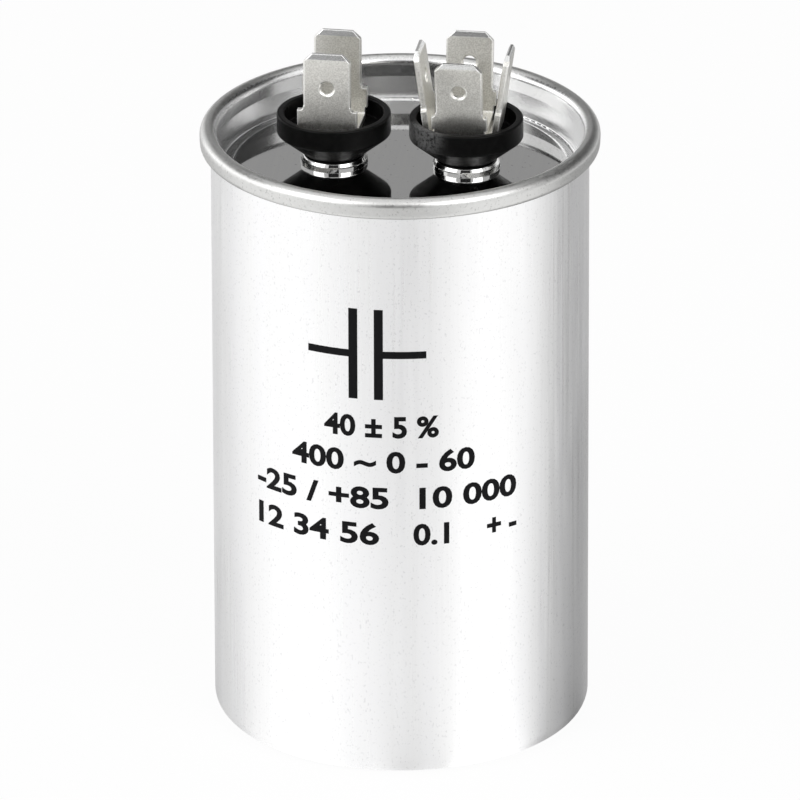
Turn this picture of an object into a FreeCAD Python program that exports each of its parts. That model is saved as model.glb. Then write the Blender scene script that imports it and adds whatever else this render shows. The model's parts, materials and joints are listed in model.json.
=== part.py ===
import FreeCAD, Part
import math
import os

# A motor run capacitor: a round drawn can, a lid held by a double seam, and two riveted
# quick-connect terminals in insulating cups, over a wound element with its leads.
# Lengths are in millimetres and angles in degrees. Z points up and the can stands on Z = 0.
# The terminals stand in a line along X, and the printed front of the can faces -Y.

V = FreeCAD.Vector
AXIS_X = V(1, 0, 0)
AXIS_Y = V(0, 1, 0)
AXIS_Z = V(0, 0, 1)
ORIGIN = V(0, 0, 0)

# Can
CAN_RADIUS = 25.0
CAN_HEIGHT = 83.0            # floor to the top of the seam
CAN_WALL = 0.45
CAN_FLOOR = 1.2
FOOT_RADIUS = 2.2
FLOOR_CORNER = 1.4
STANDING_RING = 3.0          # flat ring that the can stands on, inside the rounded foot
BASE_RECESS = 0.4            # height of the base panel above the standing ring
RECESS_SLOPE = 1.2           # width of the slope between ring and panel

# Double seam
LID_SHEET = 0.42
SEAM_GAP = 0.04              # between neighbouring layers of the seam
SEAM_LENGTH = 2.75
SEAM_FLARE = 2.0             # outward lean of the seam, from the taper of the chuck that backs it
HOOK_GAP = 0.06              # from each hook's end to the fold that holds it
COMPOUND_DEPTH = 0.18        # how far the can's fold stays below the lid's fold, for the compound
COMPOUND_RISE = 0.35         # height above the fold's middle from which compound fills the gap

# Lid
PANEL_DEPTH = 5.45           # top of the seam down to the lid's panel
CHUCK_DRAFT = 0.5
CHUCK_BEND = 1.0
GROOVE_FLOOR = 1.3
GROOVE_DEPTH = 0.5
GROOVE_BEND = 0.4
PANEL_BEND = 0.6

# Drawn collar around each terminal
TERMINAL_PITCH = 17.55
COLLAR_ROOT = 5.2
COLLAR_HEIGHT = 1.3
COLLAR_GRIP = 0.08           # from the collar's lip and wall to what they hold
COLLAR_WALL_RISE = 0.6       # height of the near-upright wall, below the shoulder that leans in
COLLAR_DRAFT = 0.05
COLLAR_SHOULDER = 0.25       # how far the shoulder leans in
COLLAR_BEND = 0.25
GASKET_WALL = 0.6
GASKET_HEIGHT = 0.5

# Insulating cup
CUP_RADIUS = 7.55
CUP_WALL = 1.0
CUP_DEPTH = 2.5
CUP_FLOOR_RISE = 0.25        # from the top of the cone up to the floor inside
CUP_CONE_HEIGHT = 3.0        # collar up to the straight band
CUP_SHOULDER_BEND = 0.35
CUP_EDGE_BEND = 0.25
CUP_SEAT = 0.5               # flat ring that sits on the collar
TAIL_RADIUS = 3.35

# Tab strips
TAB_THICKNESS = 0.8
BLADE_WIDTH = 6.3
BLADE_LENGTH = 8.0
LEFT_SHOULDER_WIDTH = 7.9
RIGHT_SHOULDER_WIDTH = 7.3
SHOULDER_FILLET = 0.4
SHOULDER_HEIGHT = 4.35       # underside of the strip up to the shoulders, along the leg
WAIST_NOTCH = 0.3            # how much narrower each edge is where the strip lies in the cup
WAIST_RISE = 0.9             # height of the waist above the strip's base
LEG_OFFSET = 4.35            # middle of the strip to the middle of a leg, at the base
TAB_BEND = 0.3               # inside radius of the bends
TIP_CHAMFER = 1.15
TIP_BEVEL = 0.75
TIP_THICKNESS = 0.38
EDGE_BEVEL = 0.18
DETENT_RADIUS = 0.85
DETENT_FLARE = 1.1
DETENT_FLARE_DEPTH = 0.2
LEFT_DETENT_DROP = 4.8       # blade tip down to the hole
RIGHT_DETENT_DROP = 4.15
LEFT_SPLAY = 0.2
RIGHT_SPLAY = 8.3
LEFT_TURN = -3.0             # the strips sit slightly turned and off centre in their cups
RIGHT_TURN = -2.0
LEFT_SHIFT = -0.15
RIGHT_SHIFT = -0.25
STRIP_HOLE = 2.0             # radius, with room for the strips to sit off centre

# Rivets, washers and lugs
SHANK_RADIUS = 1.6
SHANK_CLEARANCE = 0.05
HEAD_RADIUS = 2.8
HEAD_HEIGHT = 0.7
HEAD_BEND = 0.5
CLINCH_RADIUS = 2.5
CLINCH_HEIGHT = 0.7
CLINCH_BEND = 0.3
RIVET_BORE = 0.95
RIVET_BORE_DEPTH = 2.6
WASHER_RADIUS = 6.5
WASHER_THICKNESS = 1.4
WASHER_BEND = 0.4
TAIL_CLEARANCE = 0.05
LUG_THICKNESS = 0.6
LUG_EYE_RADIUS = 3.4
LUG_TAIL_WIDTH = 4.6
LUG_REACH = 5.6              # rivet axis to the middle of the turned-down tail
LUG_DROP = 4.5
LUG_BEND = 0.4

# Wound element, spacer and leads
ELEMENT_CLEARANCE = 2.35     # from the element to the can's wall
ELEMENT_HEIGHT = 58.0
ELEMENT_BORE = 3.5
ELEMENT_CHAMFER = 0.8
SPACER_CLEARANCE = 0.35      # to the can's wall and to the element
SPACER_FLOOR = 1.0
SPACER_RIM = 5.0
SPACER_RING_INSET = 3.2      # edge of the element in to the ring that it stands on
SPACER_RING_WIDTH = 2.5
SPACER_RING_HEIGHT = 0.8
SPACER_BORE = 3.0
LEAD_THICKNESS = 0.4
LEAD_WIDTH = 4.0
LEAD_BEND = 0.8
LEAD_FOOT = 8.0              # length soldered to the element's end
LEAD_SLANT = 3.0             # height in which the right lead comes over to the bore
LEAD_OVERLAP = 3.6           # length soldered to the lug

# Radii of the seam's layers, from the can's bore outwards
CAN_BORE = CAN_RADIUS - CAN_WALL
CHUCK_RADIUS = CAN_BORE - SEAM_GAP - LID_SHEET / 2
COVER_HOOK_RADIUS = CAN_RADIUS + SEAM_GAP + LID_SHEET / 2
BODY_HOOK_INNER = CAN_RADIUS + 2 * SEAM_GAP + LID_SHEET
BODY_HOOK_OUTER = BODY_HOOK_INNER + CAN_WALL
SEAMING_PANEL_RADIUS = BODY_HOOK_OUTER + SEAM_GAP + LID_SHEET / 2

# Folds of the seam
LID_FOLD = (SEAMING_PANEL_RADIUS - CHUCK_RADIUS) / 2
LID_LOWER_FOLD = (SEAMING_PANEL_RADIUS - COVER_HOOK_RADIUS) / 2
CAN_FOLD_INNER = (BODY_HOOK_INNER - CAN_RADIUS) / 2
CAN_FOLD_OUTER = (BODY_HOOK_OUTER - CAN_BORE) / 2
FOLD_RADIUS = (SEAMING_PANEL_RADIUS + CHUCK_RADIUS) / 2
LID_FOLD_Z = CAN_HEIGHT - LID_SHEET / 2 - LID_FOLD
CAN_FOLD_Z = LID_FOLD_Z - COMPOUND_DEPTH
SEAM_BOTTOM = CAN_HEIGHT - SEAM_LENGTH
LOWER_FOLD_Z = SEAM_BOTTOM + LID_SHEET / 2 + LID_LOWER_FOLD
BODY_HOOK_END = LOWER_FOLD_Z + HOOK_GAP
COVER_HOOK_END = CAN_FOLD_Z - HOOK_GAP

# Levels of the lid and of the stack that each rivet holds
PANEL_TOP = CAN_HEIGHT - PANEL_DEPTH
PANEL_UNDERSIDE = PANEL_TOP - LID_SHEET
CUP_SEAT_Z = PANEL_TOP + COLLAR_HEIGHT
CUP_CONE_TOP = CUP_SEAT_Z + CUP_CONE_HEIGHT
CUP_FLOOR_Z = CUP_CONE_TOP + CUP_FLOOR_RISE
CUP_TOP = CUP_FLOOR_Z + CUP_DEPTH
LUG_TOP = PANEL_UNDERSIDE - WASHER_THICKNESS
LUG_UNDERSIDE = LUG_TOP - LUG_THICKNESS

# Radii and levels of the element
ELEMENT_RADIUS = CAN_BORE - ELEMENT_CLEARANCE
SPACER_RING_RADIUS = ELEMENT_RADIUS - SPACER_RING_INSET
SPACER_TOP = CAN_FLOOR + SPACER_FLOOR
ELEMENT_BOTTOM = SPACER_TOP + SPACER_RING_HEIGHT
ELEMENT_TOP = ELEMENT_BOTTOM + ELEMENT_HEIGHT

HOLE_RADIUS = SHANK_RADIUS + SHANK_CLEARANCE


def unit(a, b):
    """Unit vector in the section plane from point a to point b."""
    length = math.hypot(b[0] - a[0], b[1] - a[1])
    return ((b[0] - a[0]) / length, (b[1] - a[1]) / length)


def corner(u, w, radius=0.0):
    """Corner of a section outline, with the radius that rounds it."""
    return (u, w, radius)


def rounding(before, here, after):
    """Tangent points and middle of the arc that rounds a corner."""
    back = unit(here, before)
    ahead = unit(here, after)
    cosine = max(-1.0, min(1.0, back[0] * ahead[0] + back[1] * ahead[1]))
    half = math.acos(cosine) / 2
    reach = here[2] / math.tan(half)
    middle = (back[0] + ahead[0], back[1] + ahead[1])
    size = math.hypot(*middle)
    depth = here[2] / math.sin(half) - here[2]
    start = (here[0] + back[0] * reach, here[1] + back[1] * reach)
    end = (here[0] + ahead[0] * reach, here[1] + ahead[1] * reach)
    mid = (here[0] + middle[0] / size * depth, here[1] + middle[1] / size * depth)
    return start, mid, end


def outline_wire(corners, place):
    """Closed wire through the corners; place turns a section point into a vector."""
    count = len(corners)
    stations = []
    for i, here in enumerate(corners):
        if here[2] > 0:
            stations.append(rounding(corners[i - 1], here, corners[(i + 1) % count]))
        else:
            stations.append((here[:2],))
    edges = []
    for i, station in enumerate(stations):
        if len(station) == 3:
            edges.append(Part.Arc(*[place(*p) for p in station]).toShape())
        start = place(*station[-1])
        end = place(*stations[(i + 1) % count][0])
        if start.distanceToPoint(end) > 1e-6:
            edges.append(Part.makeLine(start, end))
    return Part.Wire(edges)


def revolved(corners):
    """Solid of revolution about Z from a section of (radius, height) corners."""
    wire = outline_wire(corners, lambda r, z: V(r, 0, z))
    return Part.Face(wire).revolve(ORIGIN, AXIS_Z, 360)


def side_path(path, distance):
    """Corners of an open path moved to its left by a distance, with their new radii."""
    moved = []
    for i, here in enumerate(path):
        ahead = unit(here, path[i + 1]) if i + 1 < len(path) else None
        behind = unit(path[i - 1], here) if i > 0 else None
        first = behind or ahead
        second = ahead or behind
        turn = first[0] * second[1] - first[1] * second[0]
        normal = (-first[1] - second[1], first[0] + second[0])
        size = math.hypot(*normal)
        reach = distance / (size / 2)
        radius = here[2]
        if radius > 0:
            radius = max(0.0, radius - math.copysign(distance, turn * distance))
        moved.append((here[0] + normal[0] / size * reach, here[1] + normal[1] / size * reach, radius))
    return moved


def sheet_section(path, thickness):
    """Closed outline of a sheet whose middle follows the path."""
    left = side_path(path, thickness / 2)
    right = side_path(path, -thickness / 2)
    return left + right[::-1]


def folded_strip(path, thickness, width):
    """Flat strip folded along a path in the XZ plane, centred on Y = 0."""
    corners = sheet_section(path, thickness)
    wire = outline_wire(corners, lambda x, z: V(x, -width / 2, z))
    return Part.Face(wire).extrude(V(0, width, 0))


def prism(corners, place, along):
    """Prism from a flat outline, carried along a vector."""
    return Part.Face(outline_wire(corners, place)).extrude(along)


def bored(shape, radius, bottom, top, x=0.0, y=0.0):
    """Shape with an upright round hole."""
    return shape.cut(Part.makeCylinder(radius, top - bottom, V(x, y, bottom)))


def at_terminal(shape, side, turn=0.0, shift=0.0):
    """Piece made on the Z axis, moved to a terminal: side is -1 for left and +1 for right."""
    placed = shape.copy()
    placed.rotate(ORIGIN, AXIS_Z, turn)
    placed.translate(V(side * TERMINAL_PITCH / 2 + shift, 0, 0))
    return placed


def flared(corners):
    """Corners of the seam's section, leaned outwards about the can's wall at the seam's foot."""
    lean = math.radians(SEAM_FLARE)
    turned = []
    for r, z, radius in corners:
        out = r - CAN_RADIUS
        up = z - SEAM_BOTTOM
        leaned_r = CAN_RADIUS + out * math.cos(lean) + up * math.sin(lean)
        leaned_z = SEAM_BOTTOM + up * math.cos(lean) - out * math.sin(lean)
        turned.append(corner(leaned_r, leaned_z, radius))
    return turned


# Can and lid

def can():
    """Drawn can with a recessed base panel, and its rim folded out and down as the body hook."""
    ring_inner = CAN_RADIUS - FOOT_RADIUS - STANDING_RING
    fold_under = CAN_FOLD_Z + CAN_FOLD_INNER
    fold_over = CAN_FOLD_Z + CAN_FOLD_OUTER
    hook = flared([
        corner(CAN_RADIUS, fold_under, CAN_FOLD_INNER),
        corner(BODY_HOOK_INNER, fold_under, CAN_FOLD_INNER),
        corner(BODY_HOOK_INNER, BODY_HOOK_END),
        corner(BODY_HOOK_OUTER, BODY_HOOK_END),
        corner(BODY_HOOK_OUTER, fold_over, CAN_FOLD_OUTER),
        corner(CAN_BORE, fold_over, CAN_FOLD_OUTER),
    ])
    return revolved([
        corner(0, BASE_RECESS),
        corner(ring_inner - RECESS_SLOPE, BASE_RECESS, RECESS_SLOPE),
        corner(ring_inner, 0, RECESS_SLOPE),
        corner(CAN_RADIUS, 0, FOOT_RADIUS),
        corner(CAN_RADIUS, SEAM_BOTTOM),
        *hook,
        corner(CAN_BORE, SEAM_BOTTOM),
        corner(CAN_BORE, CAN_FLOOR, FLOOR_CORNER),
        corner(0, CAN_FLOOR),
    ])


def lid_path():
    """Middle of the lid's sheet, from the centre of the panel to the end of the cover hook."""
    panel = PANEL_TOP - LID_SHEET / 2
    groove = panel - GROOVE_DEPTH
    foot = CHUCK_RADIUS - CHUCK_DRAFT
    groove_inner = foot - GROOVE_FLOOR
    top = CAN_HEIGHT - LID_SHEET / 2
    bottom = SEAM_BOTTOM + LID_SHEET / 2
    seam = flared([
        corner(CHUCK_RADIUS, SEAM_BOTTOM, CHUCK_BEND),
        corner(CHUCK_RADIUS, top, LID_FOLD),
        corner(SEAMING_PANEL_RADIUS, top, LID_FOLD),
        corner(SEAMING_PANEL_RADIUS, bottom, LID_LOWER_FOLD),
        corner(COVER_HOOK_RADIUS, bottom, LID_LOWER_FOLD),
        corner(COVER_HOOK_RADIUS, COVER_HOOK_END),
    ])
    return [
        corner(0, panel),
        corner(groove_inner - GROOVE_DEPTH, panel, GROOVE_BEND),
        corner(groove_inner, groove, GROOVE_BEND),
        corner(foot, groove, PANEL_BEND),
        *seam,
    ]


def collar_path():
    """Middle of the sheet drawn up around a terminal: root, wall, shoulder and turned-in lip."""
    panel = PANEL_TOP - LID_SHEET / 2
    wall = TAIL_RADIUS + GASKET_WALL + COLLAR_GRIP + LID_SHEET / 2
    lip = TAIL_RADIUS + 2 * COLLAR_GRIP
    lip_level = CUP_SEAT_Z - LID_SHEET / 2
    return [
        corner(COLLAR_ROOT, panel),
        corner(wall + COLLAR_DRAFT, panel, COLLAR_BEND),
        corner(wall, PANEL_TOP + COLLAR_WALL_RISE, COLLAR_BEND),
        corner(wall - COLLAR_SHOULDER, lip_level, COLLAR_BEND),
        corner(lip, lip_level),
    ]


def lid():
    """Lid with its half of the double seam, countersunk panel, groove and two drawn collars."""
    shape = revolved(sheet_section(lid_path(), LID_SHEET))
    collar = revolved(sheet_section(collar_path(), LID_SHEET))
    for side in (-1, 1):
        x = side * TERMINAL_PITCH / 2
        shape = bored(shape, COLLAR_ROOT, PANEL_UNDERSIDE - 1, PANEL_TOP + 1, x)
        shape = shape.fuse(at_terminal(collar, side))
    return shape.removeSplitter()


def seam_compound():
    """Ring of sealing compound in the top of the seam, between the lid's fold and the can's fold."""
    outer = LID_FOLD - LID_SHEET / 2
    inner = CAN_FOLD_OUTER
    over = LID_FOLD_Z + outer
    under = CAN_FOLD_Z + inner
    section = [
        corner(FOLD_RADIUS - outer, LID_FOLD_Z),
        corner(FOLD_RADIUS - outer, over, outer),
        corner(FOLD_RADIUS + outer, over, outer),
        corner(FOLD_RADIUS + outer, LID_FOLD_Z),
        corner(FOLD_RADIUS + inner, LID_FOLD_Z),
        corner(FOLD_RADIUS + inner, under, inner),
        corner(FOLD_RADIUS - inner, under, inner),
        corner(FOLD_RADIUS - inner, LID_FOLD_Z),
    ]
    bottom = LID_FOLD_Z + COMPOUND_RISE
    top = Part.makeCylinder(2 * CAN_RADIUS, SEAM_LENGTH, V(0, 0, bottom))
    return revolved(flared(section)).common(top)


# Terminals, made on the Z axis

def terminal_cup():
    """Insulating cup with a thin wall, a cone under it and a tail through the lid."""
    return revolved([
        corner(HOLE_RADIUS, LUG_TOP),
        corner(TAIL_RADIUS, LUG_TOP),
        corner(TAIL_RADIUS, CUP_SEAT_Z),
        corner(TAIL_RADIUS + CUP_SEAT, CUP_SEAT_Z),
        corner(CUP_RADIUS, CUP_CONE_TOP, CUP_SHOULDER_BEND),
        corner(CUP_RADIUS, CUP_TOP, CUP_EDGE_BEND),
        corner(CUP_RADIUS - CUP_WALL, CUP_TOP, CUP_EDGE_BEND),
        corner(CUP_RADIUS - CUP_WALL, CUP_FLOOR_Z, CUP_EDGE_BEND),
        corner(HOLE_RADIUS, CUP_FLOOR_Z),
    ])


def cup_gasket():
    """Rubber sleeve that seals the cup's tail in the collar."""
    bottom = PANEL_TOP - LID_SHEET
    return revolved([
        corner(TAIL_RADIUS, bottom),
        corner(TAIL_RADIUS + GASKET_WALL, bottom),
        corner(TAIL_RADIUS + GASKET_WALL, PANEL_TOP + GASKET_HEIGHT),
        corner(TAIL_RADIUS, PANEL_TOP + GASKET_HEIGHT),
    ])


def inner_washer():
    """Insulating washer under the lid, around the cup's tail."""
    return revolved([
        corner(TAIL_RADIUS + TAIL_CLEARANCE, LUG_TOP),
        corner(WASHER_RADIUS, LUG_TOP, WASHER_BEND),
        corner(WASHER_RADIUS, PANEL_UNDERSIDE),
        corner(TAIL_RADIUS + TAIL_CLEARANCE, PANEL_UNDERSIDE),
    ])


def rivet(strips):
    """Semi-tubular rivet that holds a stack of strips, the cup, the washer and the lug."""
    seat = CUP_FLOOR_Z + strips * TAB_THICKNESS
    end = LUG_UNDERSIDE - CLINCH_HEIGHT
    return revolved([
        corner(0, seat + HEAD_HEIGHT),
        corner(HEAD_RADIUS, seat + HEAD_HEIGHT, HEAD_BEND),
        corner(HEAD_RADIUS, seat),
        corner(SHANK_RADIUS, seat),
        corner(SHANK_RADIUS, LUG_UNDERSIDE),
        corner(CLINCH_RADIUS, LUG_UNDERSIDE),
        corner(CLINCH_RADIUS, end, CLINCH_BEND),
        corner(RIVET_BORE, end, CLINCH_BEND),
        corner(RIVET_BORE, end + RIVET_BORE_DEPTH),
        corner(0, end + RIVET_BORE_DEPTH),
    ])


def solder_lug():
    """Lug with a round eye under the washer and a tail turned down at -X."""
    middle = LUG_TOP - LUG_THICKNESS / 2
    path = [
        corner(0, middle),
        corner(-LUG_REACH, middle, LUG_BEND + LUG_THICKNESS / 2),
        corner(-LUG_REACH, middle - LUG_DROP),
    ]
    tail = folded_strip(path, LUG_THICKNESS, LUG_TAIL_WIDTH)
    eye = Part.makeCylinder(LUG_EYE_RADIUS, LUG_THICKNESS, V(0, 0, LUG_UNDERSIDE))
    whole = eye.fuse(tail).removeSplitter()
    return bored(whole, HOLE_RADIUS, LUG_UNDERSIDE - 1, LUG_TOP + 1)


def blade(detent_drop):
    """Upright quick-connect blade with bevelled edges, a coined tip and a detent hole."""
    half = BLADE_WIDTH / 2
    thick = TAB_THICKNESS / 2
    face = prism([
        corner(-half, 0),
        corner(half, 0),
        corner(half, BLADE_LENGTH - TIP_CHAMFER),
        corner(half - TIP_CHAMFER, BLADE_LENGTH),
        corner(TIP_CHAMFER - half, BLADE_LENGTH),
        corner(-half, BLADE_LENGTH - TIP_CHAMFER),
    ], lambda x, z: V(x, -thick, z), AXIS_Y * TAB_THICKNESS)
    side = prism([
        corner(-thick, 0),
        corner(thick, 0),
        corner(thick, BLADE_LENGTH - TIP_BEVEL),
        corner(TIP_THICKNESS / 2, BLADE_LENGTH),
        corner(-TIP_THICKNESS / 2, BLADE_LENGTH),
        corner(-thick, BLADE_LENGTH - TIP_BEVEL),
    ], lambda y, z: V(-half, y, z), AXIS_X * BLADE_WIDTH)
    plan = prism([
        corner(EDGE_BEVEL - half, -thick),
        corner(half - EDGE_BEVEL, -thick),
        corner(half, EDGE_BEVEL - thick),
        corner(half, thick - EDGE_BEVEL),
        corner(half - EDGE_BEVEL, thick),
        corner(EDGE_BEVEL - half, thick),
        corner(-half, thick - EDGE_BEVEL),
        corner(-half, EDGE_BEVEL - thick),
    ], lambda x, y: V(x, y, 0), AXIS_Z * BLADE_LENGTH)
    shape = face.common(side).common(plan)
    level = BLADE_LENGTH - detent_drop
    shape = shape.cut(Part.makeCylinder(DETENT_RADIUS, TAB_THICKNESS, V(0, -thick, level), AXIS_Y))
    for way in (-1, 1):
        mouth = V(0, way * thick, level)
        flare = Part.makeCone(DETENT_FLARE, DETENT_RADIUS, DETENT_FLARE_DEPTH, mouth, AXIS_Y * -way)
        shape = shape.cut(flare)
    return shape


def shoulder_fillets():
    """The two hollow corners between a blade's edges and the shoulders of its leg."""
    half = BLADE_WIDTH / 2
    root = -EDGE_BEVEL
    fillets = []
    for way in (-1, 1):
        fillets.append(prism([
            corner(way * (half - EDGE_BEVEL), root),
            corner(way * (half + SHOULDER_FILLET), root),
            corner(way * (half + SHOULDER_FILLET), 0),
            corner(way * half, 0, SHOULDER_FILLET),
            corner(way * half, 1.5 * SHOULDER_FILLET),
            corner(way * (half - EDGE_BEVEL), 1.5 * SHOULDER_FILLET),
        ], lambda x, z: V(x, -TAB_THICKNESS / 2, z), AXIS_Y * TAB_THICKNESS))
    return fillets


def tab_strip(splay, detent_drop, width, shoulder_height=SHOULDER_HEIGHT):
    """Strip folded into a U on Z = 0, its two legs at -Y and +Y ending in blades."""
    middle = TAB_THICKNESS / 2
    leg = shoulder_height - middle
    lean = math.radians(splay)
    shoulder = (LEG_OFFSET + leg * math.sin(lean), middle + leg * math.cos(lean))
    bend = TAB_BEND + middle
    path = [
        corner(-shoulder[0], shoulder[1]),
        corner(-LEG_OFFSET, middle, bend),
        corner(LEG_OFFSET, middle, bend),
        corner(shoulder[0], shoulder[1]),
    ]
    shape = folded_strip(path, TAB_THICKNESS, width)
    shape.rotate(ORIGIN, AXIS_Z, 90)
    reach = LEG_OFFSET + TAB_THICKNESS + WAIST_RISE
    for start in (-width / 2, width / 2 - WAIST_NOTCH):
        notch = Part.makeBox(WAIST_NOTCH, 2 * reach, 1 + TAB_THICKNESS + WAIST_RISE, V(start, -reach, -1))
        shape = shape.cut(notch)
    for way in (-1, 1):
        tip = blade(detent_drop).fuse(shoulder_fillets())
        tip.rotate(ORIGIN, AXIS_X, -way * splay)
        tip.translate(V(0, way * shoulder[0], shoulder[1]))
        shape = shape.fuse(tip)
    shape = shape.removeSplitter()
    return bored(shape, STRIP_HOLE, -1, TAB_THICKNESS + 1)


def left_tab_strip():
    """Pair of blades of the left terminal."""
    strip = tab_strip(LEFT_SPLAY, LEFT_DETENT_DROP, LEFT_SHOULDER_WIDTH)
    strip.translate(V(0, 0, CUP_FLOOR_Z))
    return at_terminal(strip, -1, LEFT_TURN, LEFT_SHIFT)


def right_tab_strip(crossed):
    """Pair of blades of the right terminal. The crossed pair lies under the other at a right angle,
    with legs longer by the strip's thickness, so that the four tips are level."""
    raised = 0 if crossed else TAB_THICKNESS
    height = SHOULDER_HEIGHT - raised
    strip = tab_strip(RIGHT_SPLAY, RIGHT_DETENT_DROP, RIGHT_SHOULDER_WIDTH, height)
    strip.translate(V(0, 0, CUP_FLOOR_Z + raised))
    return at_terminal(strip, 1, RIGHT_TURN + (90 if crossed else 0), RIGHT_SHIFT)


# Inside the can

def wound_element():
    """Roll of metallised film with metal-sprayed ends, hollow at its core."""
    return revolved([
        corner(ELEMENT_BORE, ELEMENT_BOTTOM),
        corner(ELEMENT_RADIUS - ELEMENT_CHAMFER, ELEMENT_BOTTOM),
        corner(ELEMENT_RADIUS, ELEMENT_BOTTOM + ELEMENT_CHAMFER),
        corner(ELEMENT_RADIUS, ELEMENT_TOP - ELEMENT_CHAMFER),
        corner(ELEMENT_RADIUS - ELEMENT_CHAMFER, ELEMENT_TOP),
        corner(ELEMENT_BORE, ELEMENT_TOP),
    ])


def element_spacer():
    """Insulating dish that centres the element and keeps it off the can."""
    rim_outer = CAN_BORE - SPACER_CLEARANCE
    rim_inner = ELEMENT_RADIUS + SPACER_CLEARANCE
    foot = CAN_BORE - FLOOR_CORNER
    ring_inner = SPACER_RING_RADIUS - SPACER_RING_WIDTH
    return revolved([
        corner(SPACER_BORE, CAN_FLOOR),
        corner(foot, CAN_FLOOR),
        corner(rim_outer, CAN_FLOOR + FLOOR_CORNER),
        corner(rim_outer, CAN_FLOOR + SPACER_RIM),
        corner(rim_inner, CAN_FLOOR + SPACER_RIM),
        corner(rim_inner, SPACER_TOP),
        corner(SPACER_RING_RADIUS, SPACER_TOP),
        corner(SPACER_RING_RADIUS, ELEMENT_BOTTOM),
        corner(ring_inner, ELEMENT_BOTTOM),
        corner(ring_inner, SPACER_TOP),
        corner(SPACER_BORE, SPACER_TOP),
    ])


def left_lead():
    """Lead strap from the left lug down to the top end of the element, then inwards."""
    lug_face = -TERMINAL_PITCH / 2 - LUG_REACH - LUG_THICKNESS / 2
    x = lug_face - LEAD_THICKNESS / 2
    top = LUG_TOP - LUG_THICKNESS / 2 - LUG_DROP + LEAD_OVERLAP
    foot = ELEMENT_TOP + LEAD_THICKNESS / 2
    return folded_strip([
        corner(x, top),
        corner(x, foot, LEAD_BEND),
        corner(x + LEAD_FOOT, foot),
    ], LEAD_THICKNESS, LEAD_WIDTH)


def right_lead():
    """Lead strap from the right lug down through the element's bore, then out under its end."""
    lug_face = TERMINAL_PITCH / 2 - LUG_REACH - LUG_THICKNESS / 2
    x = lug_face - LEAD_THICKNESS / 2
    lug_end = LUG_TOP - LUG_THICKNESS / 2 - LUG_DROP
    foot = ELEMENT_BOTTOM - LEAD_THICKNESS / 2
    return folded_strip([
        corner(x, lug_end + LEAD_OVERLAP),
        corner(x, lug_end - LEAD_BEND, LEAD_BEND),
        corner(0, lug_end - LEAD_BEND - LEAD_SLANT, LEAD_BEND),
        corner(0, foot, LEAD_BEND),
        corner(ELEMENT_BORE + LEAD_FOOT, foot),
    ], LEAD_THICKNESS, LEAD_WIDTH)


def build():
    """Every separate piece under its own name."""
    pieces = {
        "can": can(),
        "lid": lid(),
        "seam_compound": seam_compound(),
        "left_tab_strip": left_tab_strip(),
        "right_tab_strip_lower": right_tab_strip(True),
        "right_tab_strip_upper": right_tab_strip(False),
        "wound_element": wound_element(),
        "element_spacer": element_spacer(),
        "left_lead": left_lead(),
        "right_lead": right_lead(),
    }
    strips = {"left": 1, "right": 2}
    for name, side in (("left", -1), ("right", 1)):
        pieces[name + "_terminal_cup"] = at_terminal(terminal_cup(), side)
        pieces[name + "_cup_gasket"] = at_terminal(cup_gasket(), side)
        pieces[name + "_inner_washer"] = at_terminal(inner_washer(), side)
        pieces[name + "_solder_lug"] = at_terminal(solder_lug(), side)
        pieces[name + "_rivet"] = at_terminal(rivet(strips[name]), side)
    return pieces


os.makedirs("parts", exist_ok=True)
for node, shape in build().items():
    shape.exportStep("parts/" + node + ".step")
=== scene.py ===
import json
import math

import bmesh
import bpy
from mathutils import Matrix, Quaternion, Vector

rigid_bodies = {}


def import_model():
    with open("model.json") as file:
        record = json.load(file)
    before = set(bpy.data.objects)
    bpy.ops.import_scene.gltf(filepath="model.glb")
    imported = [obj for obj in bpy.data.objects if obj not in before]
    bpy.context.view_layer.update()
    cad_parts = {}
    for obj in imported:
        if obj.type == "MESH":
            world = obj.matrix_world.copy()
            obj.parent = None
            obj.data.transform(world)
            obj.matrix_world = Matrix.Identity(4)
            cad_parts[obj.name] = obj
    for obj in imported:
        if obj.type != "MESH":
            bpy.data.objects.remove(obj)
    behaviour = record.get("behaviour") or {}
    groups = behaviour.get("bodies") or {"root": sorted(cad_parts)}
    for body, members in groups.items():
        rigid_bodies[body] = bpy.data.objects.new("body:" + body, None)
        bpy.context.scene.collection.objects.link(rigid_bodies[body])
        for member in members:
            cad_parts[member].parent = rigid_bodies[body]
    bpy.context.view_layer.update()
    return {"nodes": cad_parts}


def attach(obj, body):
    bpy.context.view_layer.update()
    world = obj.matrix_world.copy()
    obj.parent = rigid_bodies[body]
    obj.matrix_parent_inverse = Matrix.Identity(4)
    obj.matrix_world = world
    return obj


# A motor run capacitor. Metres throughout; the can stands on Z = 0 and its printed front faces -Y.
# Azimuths count from -Y towards +X, as seen from the can's axis.

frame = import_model()

MM = 0.001
CAN_RADIUS = 25 * MM
SEAM_BOTTOM = 80.25 * MM
SEAM_INNER_RADIUS = 24.35 * MM
PANEL_EDGE = 21.6 * MM

# Looks
EDGE_ROUND = 0.2 * MM
TIP_BOTTOM = 93.65 * MM
# Painted sheen: place and reach of a lighter grey patch on the black cups.
SHEEN_PLACE = (3.7 * MM, -5.5 * MM, 84.5 * MM)
SHEEN_REACH = 4.2 * MM
PLAIN_SPECULAR = 0.5
DARK_SPECULAR = 0.08
INK_SPECULAR = 0.1

# Camera
CAMERA_AZIMUTH = math.radians(6.2)
CAMERA_ELEVATION = math.radians(23.3)
CAMERA_ROLL = math.radians(-0.15)
CAMERA_DISTANCE = 1.8
LOOK_AT = Vector((-0.1 * MM, 0, 43.5 * MM))
PIXELS_PER_METRE = 7516
FRAME_PIXELS = 800
SENSOR = 36
CLIP_END = 100

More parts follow.
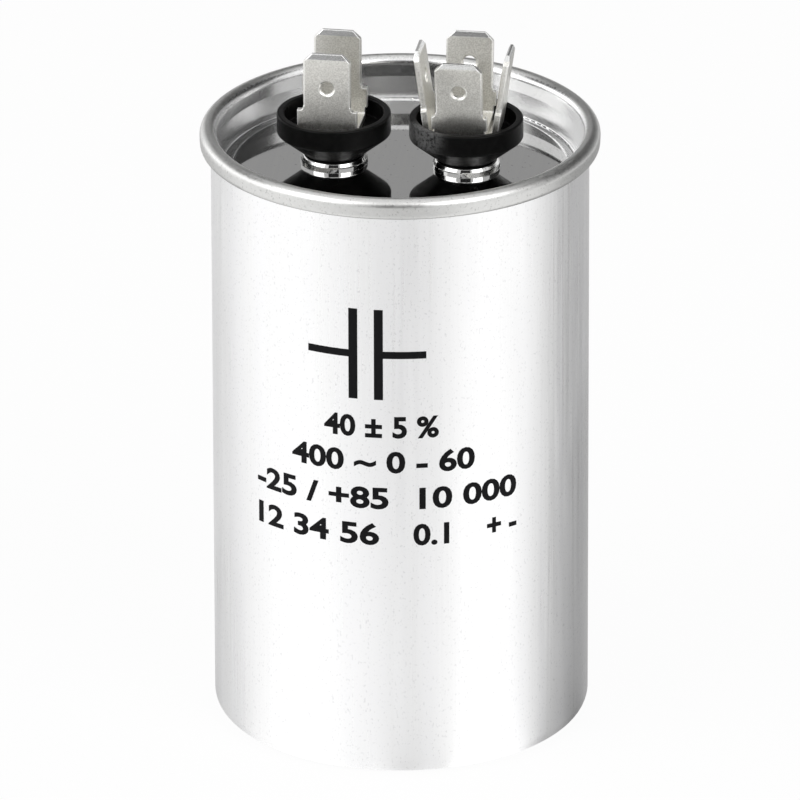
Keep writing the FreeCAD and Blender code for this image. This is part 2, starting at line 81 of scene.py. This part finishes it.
# Print
PRINT_LIFT = 0.02 * MM
PRINT_STEP = 0.5 * MM
CAP_HEIGHT = 3.0 * MM
FONT_CAP = 0.73
FONT_WEIGHT = 0.03
SIGN_AZIMUTH = -4.4
SIGN_HEIGHT = 60.6

# Rows as name, marks, azimuth in degrees, height above the floor and width in millimetres
PRINT_ROWS = (
    ("print_row_1", "40 ± 5 %", 0.1, 50.4, 15.4),
    ("print_row_2", "400 ~ 0 - 60", 0.2, 45.4, 25.2),
    ("print_row_3", "-25 / +85  10 000", 0.4, 40.2, 37.7),
    ("print_row_4", "12 34 56", -21.4, 35.0, 18.3),
    ("print_row_4_middle", "0.1", 15.4, 35.0, 4.8),
    ("print_row_4_right", "+ -", 38.4, 35.0, 4.6),
)

# Studio
ROOM_LIGHT = 0.6
FLOOR_SIZE = 8
FLOOR_GLOW = 0.94
LAMP_AIM = 60 * MM
CARD_STEPS = 24

# Sheet round the can's foot: its reach, and its levels by reflected azimuth in degrees
SHEET_HEIGHT = 0.3 * MM
SHEET_INNER = 1 * MM
SHEET_OUTER = 0.45
SHEET_STEPS = 120
SHEET_NEAR_END = 65 * MM
SHEET_FAR_START = 175 * MM
TABLE_STRENGTH = 1.37
TABLE_FAR = (
    (-180, 0.34), (-135, 0.50), (-97, 0.84), (-60, 0.88), (-12, 0.66), (10, 0.51), (28, 0.61),
    (48, 0.91), (86, 0.86), (124, 0.30), (180, 0.34),
)
TABLE_NEAR = (
    (-180, 0.34), (-125, 0.56), (-88, 0.82), (-60, 0.92), (-12, 0.76), (10, 0.60), (28, 0.68),
    (48, 0.96), (80, 0.88), (112, 0.36), (147, 0.18), (180, 0.34),
)

# Cards as name, first and last azimuth in degrees, radius, lower and upper edge, and level
CARDS = (
    ("dark_card_front", -14, 22, 0.9, 0.06, 0.82, 0.04),
    ("grey_card_right", 84, 178, 0.8, 0.06, 0.30, 0.42),
    ("grey_card_back", 178, 207, 0.8, 0.06, 0.52, 0.42),
    ("dark_card_right", 95, 178, 0.8, 0.30, 1.20, 0.06),
    ("dark_card_back", 178, 268, 0.8, 0.52, 0.95, 0.04),
    ("bright_card_left", -135, -60, 0.8, 0.06, 0.40, 1.8),
)


def azimuth_vector(azimuth, elevation=0.0):
    """Unit vector towards an azimuth and elevation."""
    flat = math.cos(elevation)
    return Vector((math.sin(azimuth) * flat, -math.cos(azimuth) * flat, math.sin(elevation)))


# Node helpers

def node(tree, kind, settings=None, **inputs):
    """New shader node. Inputs are given by socket name, or as i0, i1 and so on by place, each as a
    value or as another node's socket."""
    made = tree.nodes.new("ShaderNode" + kind)
    for name, value in (settings or {}).items():
        setattr(made, name, value)
    for name, value in inputs.items():
        numbered = name[0] == "i" and name[1:].isdigit()
        socket = made.inputs[int(name[1:]) if numbered else name]
        if isinstance(value, bpy.types.NodeSocket):
            tree.links.new(value, socket)
        else:
            socket.default_value = value
    return made


def math_node(tree, operation, a, b=0.0, clamp=False):
    """Output of a Math node."""
    return node(tree, "Math", {"operation": operation, "use_clamp": clamp}, i0=a, i1=b).outputs[0]


def remap(tree, value, low, high, out_low=0.0, out_high=1.0, smooth=True):
    """Output of a Map Range node."""
    kind = "SMOOTHSTEP" if smooth else "LINEAR"
    made = node(
        tree, "MapRange", {"interpolation_type": kind},
        i0=value, i1=low, i2=high, i3=out_low, i4=out_high,
    )
    return made.outputs[0]


def mix_colour(tree, factor, a, b, blend="MIX"):
    """Output of a colour Mix node; a colour is given as three numbers or a socket."""
    made = tree.nodes.new("ShaderNodeMix")
    made.data_type = "RGBA"
    made.blend_type = blend
    for index, value in ((0, factor), (6, a), (7, b)):
        if isinstance(value, bpy.types.NodeSocket):
            tree.links.new(value, made.inputs[index])
        elif index:
            made.inputs[index].default_value = (*value, 1)
        else:
            made.inputs[index].default_value = value
    return made.outputs[2]


def stained(tree, mask, share, tone, colour):
    """A tone with a share of another colour wherever a mask is 1."""
    return mix_colour(tree, math_node(tree, "MULTIPLY", mask, share), tone, colour)


def noise(tree, scale, stretch=(1, 1, 1), detail=2.0, rough=0.5):
    """Noise over the object's own coordinates, with features about 1/scale metres wide."""
    place = node(tree, "TexCoord").outputs["Object"]
    mapping = node(tree, "Mapping", None, Vector=place, Scale=stretch)
    made = node(
        tree, "TexNoise", None,
        Vector=mapping.outputs[0], Scale=scale, Detail=detail, Roughness=rough,
    )
    return made.outputs["Fac"]


def height_mask(tree, low, high):
    """0 below a height and 1 above it."""
    place = node(tree, "TexCoord").outputs["Object"]
    z = node(tree, "SeparateXYZ", None, Vector=place).outputs["Z"]
    return remap(tree, z, low, high)


def radius_mask(tree, low, high):
    """0 nearer to the can's axis than a radius and 1 beyond it."""
    place = node(tree, "TexCoord").outputs["Object"]
    parts = node(tree, "SeparateXYZ", None, Vector=place)
    flat = node(tree, "CombineXYZ", None, X=parts.outputs["X"], Y=parts.outputs["Y"])
    radius = node(tree, "VectorMath", {"operation": "LENGTH"}, i0=flat.outputs[0]).outputs["Value"]
    return remap(tree, radius, low, high)


def blank_material(name):
    """New material without nodes: returns it with its node tree."""
    made = bpy.data.materials.new(name)
    made.use_nodes = True
    made.node_tree.nodes.clear()
    return made, made.node_tree


def material(name):
    """New material: returns it with its node tree and its Principled shader."""
    made, tree = blank_material(name)
    shader = node(tree, "BsdfPrincipled")
    node(tree, "OutputMaterial", None, Surface=shader.outputs[0])
    return made, tree, shader


def bump(tree, shader, height, distance, strength=1.0):
    """Bump on a shader from a height in 0 to 1, over a distance in metres."""
    made = node(tree, "Bump", None, Height=height, Strength=strength, Distance=distance)
    tree.links.new(made.outputs[0], shader.inputs["Normal"])


# Materials

def drawn_aluminium():
    """Satin drawn can: fine upright draw lines, a few broader ones, and fine specks."""
    made, tree, shader = material("drawn_aluminium")
    fine = noise(tree, 2600, (1, 1, 0.012), 3.0, 0.6)
    broad = noise(tree, 420, (1, 1, 0.02), 2.0)
    specks = remap(tree, noise(tree, 3800, (1, 1, 0.7), 1.0), 0.63, 0.72)
    patches = noise(tree, 90, (1, 1, 0.4), 2.0)
    tone = mix_colour(tree, fine, (0.84, 0.84, 0.84), (0.95, 0.95, 0.95))
    tone = mix_colour(tree, remap(tree, broad, 0.35, 0.65), tone, (0.90, 0.90, 0.905))
    tone = stained(tree, specks, 0.35, tone, (0.55, 0.55, 0.56))
    tree.links.new(tone, shader.inputs["Base Color"])
    shader.inputs["Metallic"].default_value = 1.0
    shader.inputs["Anisotropic"].default_value = 0.7
    rough = remap(tree, fine, 0.3, 0.7, 0.27, 0.37)
    rough = math_node(tree, "ADD", rough, remap(tree, patches, 0.3, 0.7, -0.02, 0.03))
    tree.links.new(rough, shader.inputs["Roughness"])
    tangent = node(tree, "Tangent", {"direction_type": "RADIAL", "axis": "Z"})
    tree.links.new(tangent.outputs[0], shader.inputs["Tangent"])
    fine_share = math_node(tree, "MULTIPLY", fine, 0.6)
    relief = math_node(tree, "ADD", fine_share, math_node(tree, "MULTIPLY", broad, 0.4))
    bump(tree, shader, relief, 0.006 * MM)
    return made


def tinplate():
    """Lid: speckled satin seam with a painted shade line along its lower fold, satin wall, and
    mirror-bright panel and collars with few specks.
    """
    made, tree, shader = material("tinplate")
    high = height_mask(tree, SEAM_BOTTOM - 0.6 * MM, SEAM_BOTTOM)
    outer = radius_mask(tree, SEAM_INNER_RADIUS, SEAM_INNER_RADIUS + 0.5 * MM)
    seam = math_node(tree, "MULTIPLY", high, outer)
    wall = radius_mask(tree, PANEL_EDGE, PANEL_EDGE + 0.6 * MM)
    # Painted shade: a dark line along the underside of the seam's lower fold, where shade falls
    # under it.
    painted_fold_shade = height_mask(tree, SEAM_BOTTOM + 0.08 * MM, SEAM_BOTTOM + 0.32 * MM)
    grain = noise(tree, 2600, (1, 1, 1), 3.0, 0.6)
    specks = remap(tree, noise(tree, 3400, (1, 1, 1), 1.0), 0.62, 0.72)
    pits = remap(tree, noise(tree, 3000, (1, 1, 1), 0.0), 0.80, 0.83)
    rolling = noise(tree, 1500, (1, 0.02, 0.02), 2.0)
    panel_tone = mix_colour(tree, rolling, (0.57, 0.57, 0.57), (0.61, 0.61, 0.60))
    panel_tone = stained(tree, pits, 0.6, panel_tone, (0.15, 0.15, 0.15))
    wall_tone = mix_colour(tree, grain, (0.76, 0.76, 0.76), (0.86, 0.86, 0.86))
    wall_tone = stained(tree, specks, 0.3, wall_tone, (0.45, 0.45, 0.45))
    seam_tone = mix_colour(tree, grain, (0.56, 0.56, 0.55), (0.70, 0.70, 0.69))
    seam_tone = stained(tree, specks, 0.45, seam_tone, (0.28, 0.28, 0.27))
    seam_tone = mix_colour(tree, painted_fold_shade, (0.16, 0.16, 0.15), seam_tone)
    tone = mix_colour(tree, wall, panel_tone, wall_tone)
    tree.links.new(mix_colour(tree, seam, tone, seam_tone), shader.inputs["Base Color"])
    shader.inputs["Metallic"].default_value = 1.0
    panel_rough = remap(tree, rolling, 0.3, 0.7, 0.03, 0.05)
    wall_rough = remap(tree, grain, 0.3, 0.7, 0.19, 0.25)
    seam_rough = remap(tree, grain, 0.3, 0.7, 0.30, 0.40)
    rough = node(tree, "Mix", None, i0=wall, i2=panel_rough, i3=wall_rough).outputs[0]
    rough = node(tree, "Mix", None, i0=seam, i2=rough, i3=seam_rough).outputs[0]
    tree.links.new(rough, shader.inputs["Roughness"])
    wall_relief = math_node(tree, "MULTIPLY", wall, 0.06)
    coarse = math_node(tree, "ADD", wall_relief, math_node(tree, "MULTIPLY", seam, 0.2))
    relief = math_node(tree, "MULTIPLY", grain, math_node(tree, "ADD", coarse, 0.02))
    bump(tree, shader, relief, 0.006 * MM, 0.6)
    return made


def tinned_strip():
    """Tinned terminal metal: warm light grey satin with a fine grain, smoother on the coined tips,
    with a painted highlight along its edges. The Bevel node finds and rounds those edges."""
    made, tree, shader = material("tinned_strip")
    grain = noise(tree, 5200, (1, 1, 1), 2.0, 0.55)
    clouds = noise(tree, 500, (1, 1, 1), 3.0)
    tip = height_mask(tree, TIP_BOTTOM, TIP_BOTTOM + 0.1 * MM)
    rounded = node(tree, "Bevel", {"samples": 8}, Radius=EDGE_ROUND).outputs[0]
    flat = node(tree, "NewGeometry").outputs["Normal"]
    facing = node(tree, "VectorMath", {"operation": "DOT_PRODUCT"}, i0=rounded, i1=flat)
    # Painted highlight: the edges that the Bevel node finds are painted lighter and less metallic.
    painted_edge_highlight = remap(tree, facing.outputs["Value"], 0.998, 0.93)
    tone = mix_colour(tree, remap(tree, grain, 0.3, 0.7), (0.68, 0.67, 0.63), (0.93, 0.92, 0.88))
    tone = mix_colour(tree, remap(tree, clouds, 0.35, 0.75, 0.0, 0.3), tone, (0.72, 0.71, 0.67))
    tone = stained(tree, tip, 0.7, tone, (0.76, 0.77, 0.78))
    tree.links.new(mix_colour(tree, painted_edge_highlight, tone, (0.97, 0.97, 0.96)), shader.inputs["Base Color"])
    tree.links.new(remap(tree, painted_edge_highlight, 0.0, 1.0, 1.0, 0.45), shader.inputs["Metallic"])
    rough = remap(tree, grain, 0.3, 0.7, 0.32, 0.42)
    rough = node(tree, "Mix", None, i0=tip, i2=rough, i3=0.22).outputs[0]
    tree.links.new(rough, shader.inputs["Roughness"])
    bump(tree, shader, grain, 0.0006 * MM, 0.5)
    tree.links.new(rounded, shader.inputs["Normal"].links[0].from_node.inputs["Normal"])
    return made


def rivet_steel():
    """Plated rivet."""
    made, tree, shader = material("rivet_steel")
    grain = noise(tree, 1800, (1, 1, 1), 2.0)
    tone = mix_colour(tree, grain, (0.58, 0.57, 0.54), (0.70, 0.69, 0.66))
    tree.links.new(tone, shader.inputs["Base Color"])
    shader.inputs["Metallic"].default_value = 1.0
    tree.links.new(remap(tree, grain, 0.3, 0.7, 0.22, 0.34), shader.inputs["Roughness"])
    bump(tree, shader, grain, 0.006 * MM, 0.5)
    return made


def moulded(name, dark, light, rough_low, rough_high, metallic=0.0, scale=1500):
    """Plain moulded material with a fine skin. Dark ones shine less."""
    made, tree, shader = material(name)
    specular = PLAIN_SPECULAR if light[0] > 0.1 else DARK_SPECULAR
    shader.inputs["Specular IOR Level"].default_value = specular
    skin = noise(tree, scale, (1, 1, 1), 3.0, 0.55)
    tree.links.new(mix_colour(tree, skin, dark, light), shader.inputs["Base Color"])
    tree.links.new(remap(tree, skin, 0.3, 0.7, rough_low, rough_high), shader.inputs["Roughness"])
    shader.inputs["Metallic"].default_value = metallic
    bump(tree, shader, skin, 0.01 * MM, 0.5)
    return made


def print_ink():
    """Black marking ink, a little uneven."""
    made, tree, shader = material("print_ink")
    blots = noise(tree, 2600, (1, 1, 0.3), 3.0, 0.6)
    tone = mix_colour(tree, blots, (0.001, 0.001, 0.0015), (0.007, 0.007, 0.008))
    tree.links.new(tone, shader.inputs["Base Color"])
    tree.links.new(remap(tree, blots, 0.3, 0.7, 0.45, 0.6), shader.inputs["Roughness"])
    shader.inputs["Specular IOR Level"].default_value = INK_SPECULAR
    return made


def painted_sheen(look, middle, reach):
    """Paints a lighter grey patch, a painted sheen, onto a material round a place, unevenly."""
    tree = look.node_tree
    shader = next(n for n in tree.nodes if n.type == "BSDF_PRINCIPLED")
    place = node(tree, "TexCoord").outputs["Object"]
    away = node(tree, "VectorMath", {"operation": "DISTANCE"}, i0=place, i1=middle)
    near = remap(tree, away.outputs["Value"], 0.35 * reach, reach, 1.0, 0.0)
    sheen_breakup = remap(tree, noise(tree, 2400, (1, 1, 1), 2.0, 0.6), 0.22, 0.62)
    base_tone = shader.inputs["Base Color"].links[0].from_socket
    share = math_node(tree, "MULTIPLY", near, sheen_breakup)
    tone = mix_colour(tree, share, base_tone, (0.10, 0.10, 0.10))
    tree.links.new(tone, shader.inputs["Base Color"])


def dress_nodes():
    """Gives every CAD node its material."""
    strip = tinned_strip()
    cup = moulded("black_plastic", (0.0015, 0.0015, 0.0015), (0.006, 0.006, 0.006), 0.28, 0.40)
    rubber = moulded("gasket_rubber", (0.012, 0.012, 0.012), (0.03, 0.03, 0.03), 0.6, 0.75)
    washer = moulded("washer_plastic", (0.42, 0.38, 0.30), (0.56, 0.52, 0.43), 0.5, 0.65)
    rivet = rivet_steel()
    looks = {
        "can": drawn_aluminium(),
        "lid": tinplate(),
        "seam_compound": moulded(
            "seam_compound", (0.08, 0.09, 0.08), (0.14, 0.15, 0.14), 0.6, 0.75),
        "left_tab_strip": strip,
        "right_tab_strip_lower": strip,
        "right_tab_strip_upper": strip,
        "wound_element": moulded(
            "film_roll", (0.60, 0.60, 0.58), (0.74, 0.74, 0.72), 0.18, 0.3, 0.6, 700),
        "element_spacer": moulded(
            "spacer_plastic", (0.72, 0.70, 0.64), (0.82, 0.80, 0.75), 0.4, 0.5),
        "left_lead": strip,
        "right_lead": strip,
    }
    for side in ("left", "right"):
        looks[side + "_terminal_cup"] = cup
        looks[side + "_cup_gasket"] = rubber
        looks[side + "_inner_washer"] = washer
        looks[side + "_solder_lug"] = strip
        looks[side + "_rivet"] = rivet
    for name, look in looks.items():
        holder = frame["nodes"][name]
        for obj in [holder, *holder.children_recursive]:
            if obj.type == "MESH":
                obj.data.materials.clear()
                obj.data.materials.append(look)
    # Painted sheen: a lighter grey patch on the black cups.
    painted_sheen(cup, SHEEN_PLACE, SHEEN_REACH)


# Print on the can

def wrap_on_can(mesh, name, azimuth, height, ink):
    """Bends a flat XY mesh round the can: X runs along the side and Y upwards."""
    work = bmesh.new()
    work.from_mesh(mesh)
    left = min(v.co.x for v in work.verts)
    right = max(v.co.x for v in work.verts)
    for i in range(1, int((right - left) / PRINT_STEP) + 1):
        whole = work.verts[:] + work.edges[:] + work.faces[:]
        cut = (left + i * PRINT_STEP, 0, 0)
        bmesh.ops.bisect_plane(work, geom=whole, plane_co=cut, plane_no=(1, 0, 0))
    radius = CAN_RADIUS + PRINT_LIFT
    for vertex in work.verts:
        turned = azimuth + vertex.co.x / CAN_RADIUS
        vertex.co = azimuth_vector(turned) * radius + Vector((0, 0, height + vertex.co.y))
    bmesh.ops.recalc_face_normals(work, faces=work.faces)
    for face in work.faces:
        middle = face.calc_center_median()
        outward = Vector((middle.x, middle.y, 0))
        if face.normal.dot(outward) < 0:
            face.normal_flip()
    wrapped = bpy.data.meshes.new(name)
    work.to_mesh(wrapped)
    work.free()
    piece = bpy.data.objects.new(name, wrapped)
    bpy.context.scene.collection.objects.link(piece)
    wrapped.materials.append(ink)
    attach(piece, "root")


def text_mesh(words, cap_height, width):
    """Flat mesh of a line of marks, centred, with capitals of a height and a length of a width."""
    curve = bpy.data.curves.new("marks", "FONT")
    curve.body = words
    curve.size = 1.0
    curve.offset = FONT_WEIGHT
    curve.resolution_u = 4
    holder = bpy.data.objects.new("marks", curve)
    bpy.context.scene.collection.objects.link(holder)
    bpy.context.view_layer.update()
    mesh = bpy.data.meshes.new_from_object(holder)
    bpy.data.objects.remove(holder)
    xs = [v.co.x for v in mesh.vertices]
    middle = (min(xs) + max(xs)) / 2
    for vertex in mesh.vertices:
        vertex.co.x = (vertex.co.x - middle) * width / (max(xs) - min(xs))
        vertex.co.y = (vertex.co.y - FONT_CAP / 2) * cap_height / FONT_CAP
    return mesh


def bars_mesh(bars):
    """Flat mesh of upright rectangles, each as (left, bottom, right, top)."""
    work = bmesh.new()
    for left, bottom, right, top in bars:
        corners = ((left, bottom), (right, bottom), (right, top), (left, top))
        work.faces.new([work.verts.new((x, y, 0)) for x, y in corners])
    mesh = bpy.data.meshes.new("bars")
    work.to_mesh(mesh)
    work.free()
    return mesh


def capacitor_sign():
    """The circuit sign of a capacitor: two plates with a lead on each."""
    half_width = 8.0 * MM
    half_height = 6.4 * MM
    half_gap = 1.1 * MM
    plate = 1.2 * MM
    lead = 0.5 * MM
    return bars_mesh([
        (-half_width, -lead, -half_gap - plate, lead),
        (-half_gap - plate, -half_height, -half_gap, half_height),
        (half_gap, -half_height, half_gap + plate, half_height),
        (half_gap + plate, -lead, half_width, lead),
    ])


def print_marks():
    """A circuit sign and four rows of plain numbers and signs."""
    ink = print_ink()
    sign_turn = math.radians(SIGN_AZIMUTH)
    wrap_on_can(capacitor_sign(), "print_sign", sign_turn, SIGN_HEIGHT * MM, ink)
    for name, words, azimuth, height, width in PRINT_ROWS:
        mesh = text_mesh(words, CAP_HEIGHT, width * MM)
        wrap_on_can(mesh, name, math.radians(azimuth), height * MM, ink)


# Studio

def background_seen(tree):
    """1 for rays that show the background: the camera's, and those off metal or through glass."""
    path = node(tree, "LightPath").outputs
    either = math_node(tree, "MAXIMUM", path["Is Camera Ray"], path["Is Glossy Ray"])
    return math_node(tree, "MAXIMUM", either, path["Is Transmission Ray"])


def world():
    """White room that lights the object at a plain level and shows white behind it."""
    scene_world = bpy.data.worlds.new("studio")
    bpy.context.scene.world = scene_world
    scene_world.use_nodes = True
    tree = scene_world.node_tree
    tree.nodes.clear()
    light = node(tree, "Background", None, Color=(1, 1, 1, 1), Strength=ROOM_LIGHT)
    white = node(tree, "Background", None, Color=(1, 1, 1, 1), Strength=1.0)
    seen = background_seen(tree)
    mixed = node(tree, "MixShader", None, i0=seen, i1=light.outputs[0], i2=white.outputs[0])
    node(tree, "OutputWorld", None, Surface=mixed.outputs[0])


def floor():
    """Pale floor that the camera sees white, with a faint shadow left on it."""
    bpy.ops.mesh.primitive_plane_add(size=FLOOR_SIZE)
    plane = bpy.context.object
    plane.name = "floor"
    made, tree = blank_material("floor")
    matt = node(tree, "BsdfDiffuse", None, Color=(0.8, 0.8, 0.8, 1))
    glow = node(tree, "Emission", None, Color=(1, 1, 1, 1), Strength=1.0)
    share = math_node(tree, "MULTIPLY", background_seen(tree), FLOOR_GLOW)
    mixed = node(tree, "MixShader", None, i0=share, i1=matt.outputs[0], i2=glow.outputs[0])
    node(tree, "OutputMaterial", None, Surface=mixed.outputs[0])
    plane.data.materials.append(made)


def ramp(tree, turn, stops):
    """Grey by azimuth: stops are (degrees, level)."""
    made = tree.nodes.new("ShaderNodeValToRGB")
    made.color_ramp.interpolation = "EASE"
    elements = made.color_ramp.elements
    while len(elements) < len(stops):
        elements.new(0.5)
    for element, (degrees, level) in zip(elements, stops):
        element.position = (degrees + 180) / 360
        element.color = (level, level, level, 1)
    tree.links.new(turn, made.inputs[0])
    return made.outputs[0]


def out_of_view(mesh, name, look):
    """Stage piece that only shows in what metal reflects."""
    mesh.materials.append(look)
    piece = bpy.data.objects.new(name, mesh)
    bpy.context.scene.collection.objects.link(piece)
    piece.visible_camera = False
    piece.visible_diffuse = False
    piece.visible_shadow = False


def band_mesh(name, rows, first, last, steps):
    """Band round the can's axis between azimuths in degrees; rows are (radius, height) pairs."""
    work = bmesh.new()
    rings = []
    for radius, height in rows:
        ring = []
        for i in range(steps + 1):
            way = azimuth_vector(math.radians(first + (last - first) * i / steps)) * radius
            ring.append(work.verts.new((way.x, way.y, height)))
        rings.append(ring)
    for lower, upper in zip(rings, rings[1:]):
        for i in range(steps):
            work.faces.new((lower[i], lower[i + 1], upper[i + 1], upper[i]))
    mesh = bpy.data.meshes.new(name)
    work.to_mesh(mesh)
    work.free()
    return mesh


def card_look(name, level):
    """Plain card of one grey."""
    made, tree = blank_material(name)
    glow = node(tree, "Emission", None, Color=(level, level, level, 1), Strength=1.0)
    node(tree, "OutputMaterial", None, Surface=glow.outputs[0])
    return made


def table_look():
    """Sheet round the can's foot, shaded one way close to the can and another far out. Its levels
    lie by the azimuth in which the can's side reflects each place on it towards the photo's side.
    That side is a plain number, so the sheet stays where it is in other views."""
    made, tree = blank_material("table_sheet")
    place = node(tree, "TexCoord").outputs["Object"]
    parts = node(tree, "SeparateXYZ", None, Vector=place)
    front = math_node(tree, "MULTIPLY", parts.outputs["Y"], -1.0)
    azimuth = math_node(tree, "ARCTAN2", parts.outputs["X"], front)
    flat = node(tree, "CombineXYZ", None, X=parts.outputs["X"], Y=front)
    radius = node(tree, "VectorMath", {"operation": "LENGTH"}, i0=flat.outputs[0]).outputs["Value"]
    share = math_node(tree, "DIVIDE", CAN_RADIUS, math_node(tree, "MAXIMUM", radius, CAN_RADIUS))
    spread = math_node(tree, "DIVIDE", 2.0, math_node(tree, "SUBTRACT", 2.0, share))
    offset = math_node(tree, "SUBTRACT", azimuth, CAMERA_AZIMUTH)
    turned = math_node(tree, "MULTIPLY", offset, spread)
    reflected = math_node(tree, "ADD", turned, CAMERA_AZIMUTH)
    turn = remap(tree, reflected, -math.pi, math.pi, smooth=False)
    far = radius_mask(tree, SHEET_NEAR_END, SHEET_FAR_START)
    level = mix_colour(tree, far, ramp(tree, turn, TABLE_NEAR), ramp(tree, turn, TABLE_FAR))
    glow = node(tree, "Emission", None, Color=level, Strength=TABLE_STRENGTH)
    node(tree, "OutputMaterial", None, Surface=glow.outputs[0])
    return made


def cards():
    """Shaded table sheet, and dark, grey and bright cards, for the metal to reflect."""
    rows = ((SHEET_INNER, SHEET_HEIGHT), (SHEET_OUTER, SHEET_HEIGHT))
    sheet = band_mesh("table_sheet", rows, -180, 180, SHEET_STEPS)
    out_of_view(sheet, "table_sheet", table_look())
    for name, first, last, radius, low, high, level in CARDS:
        mesh = band_mesh(name, ((radius, low), (radius, high)), first, last, CARD_STEPS)
        out_of_view(mesh, name, card_look(name, level))


def soft_box(name, azimuth, elevation, distance, size, power):
    """Square area lamp that faces the can. Its azimuth and elevation are in degrees."""
    lamp = bpy.data.lights.new(name, "AREA")
    lamp.size = size
    lamp.energy = power
    holder = bpy.data.objects.new(name, lamp)
    bpy.context.scene.collection.objects.link(holder)
    aim = Vector((0, 0, LAMP_AIM))
    way = azimuth_vector(math.radians(azimuth), math.radians(elevation))
    holder.location = aim + way * distance
    holder.rotation_euler = (aim - holder.location).to_track_quat("-Z", "Y").to_euler()


def camera():
    """Long lens from a little above, as in the photograph."""
    data = bpy.data.cameras.new("camera")
    data.sensor_width = SENSOR
    data.lens = PIXELS_PER_METRE * CAMERA_DISTANCE / FRAME_PIXELS * SENSOR
    data.clip_end = CLIP_END
    holder = bpy.data.objects.new("camera", data)
    bpy.context.scene.collection.objects.link(holder)
    way = azimuth_vector(CAMERA_AZIMUTH, CAMERA_ELEVATION)
    holder.location = LOOK_AT + way * CAMERA_DISTANCE
    turn = (LOOK_AT - holder.location).to_track_quat("-Z", "Y")
    holder.rotation_euler = (turn @ Quaternion((0, 0, 1), CAMERA_ROLL)).to_euler()
    bpy.context.scene.camera = holder


dress_nodes()
print_marks()
world()
floor()
cards()
soft_box("left_soft_box", -50, 38, 1.1, 0.7, 5)
soft_box("right_soft_box", 48, 38, 1.1, 0.6, 4)
camera()

bpy.context.scene.view_settings.view_transform = "Standard"
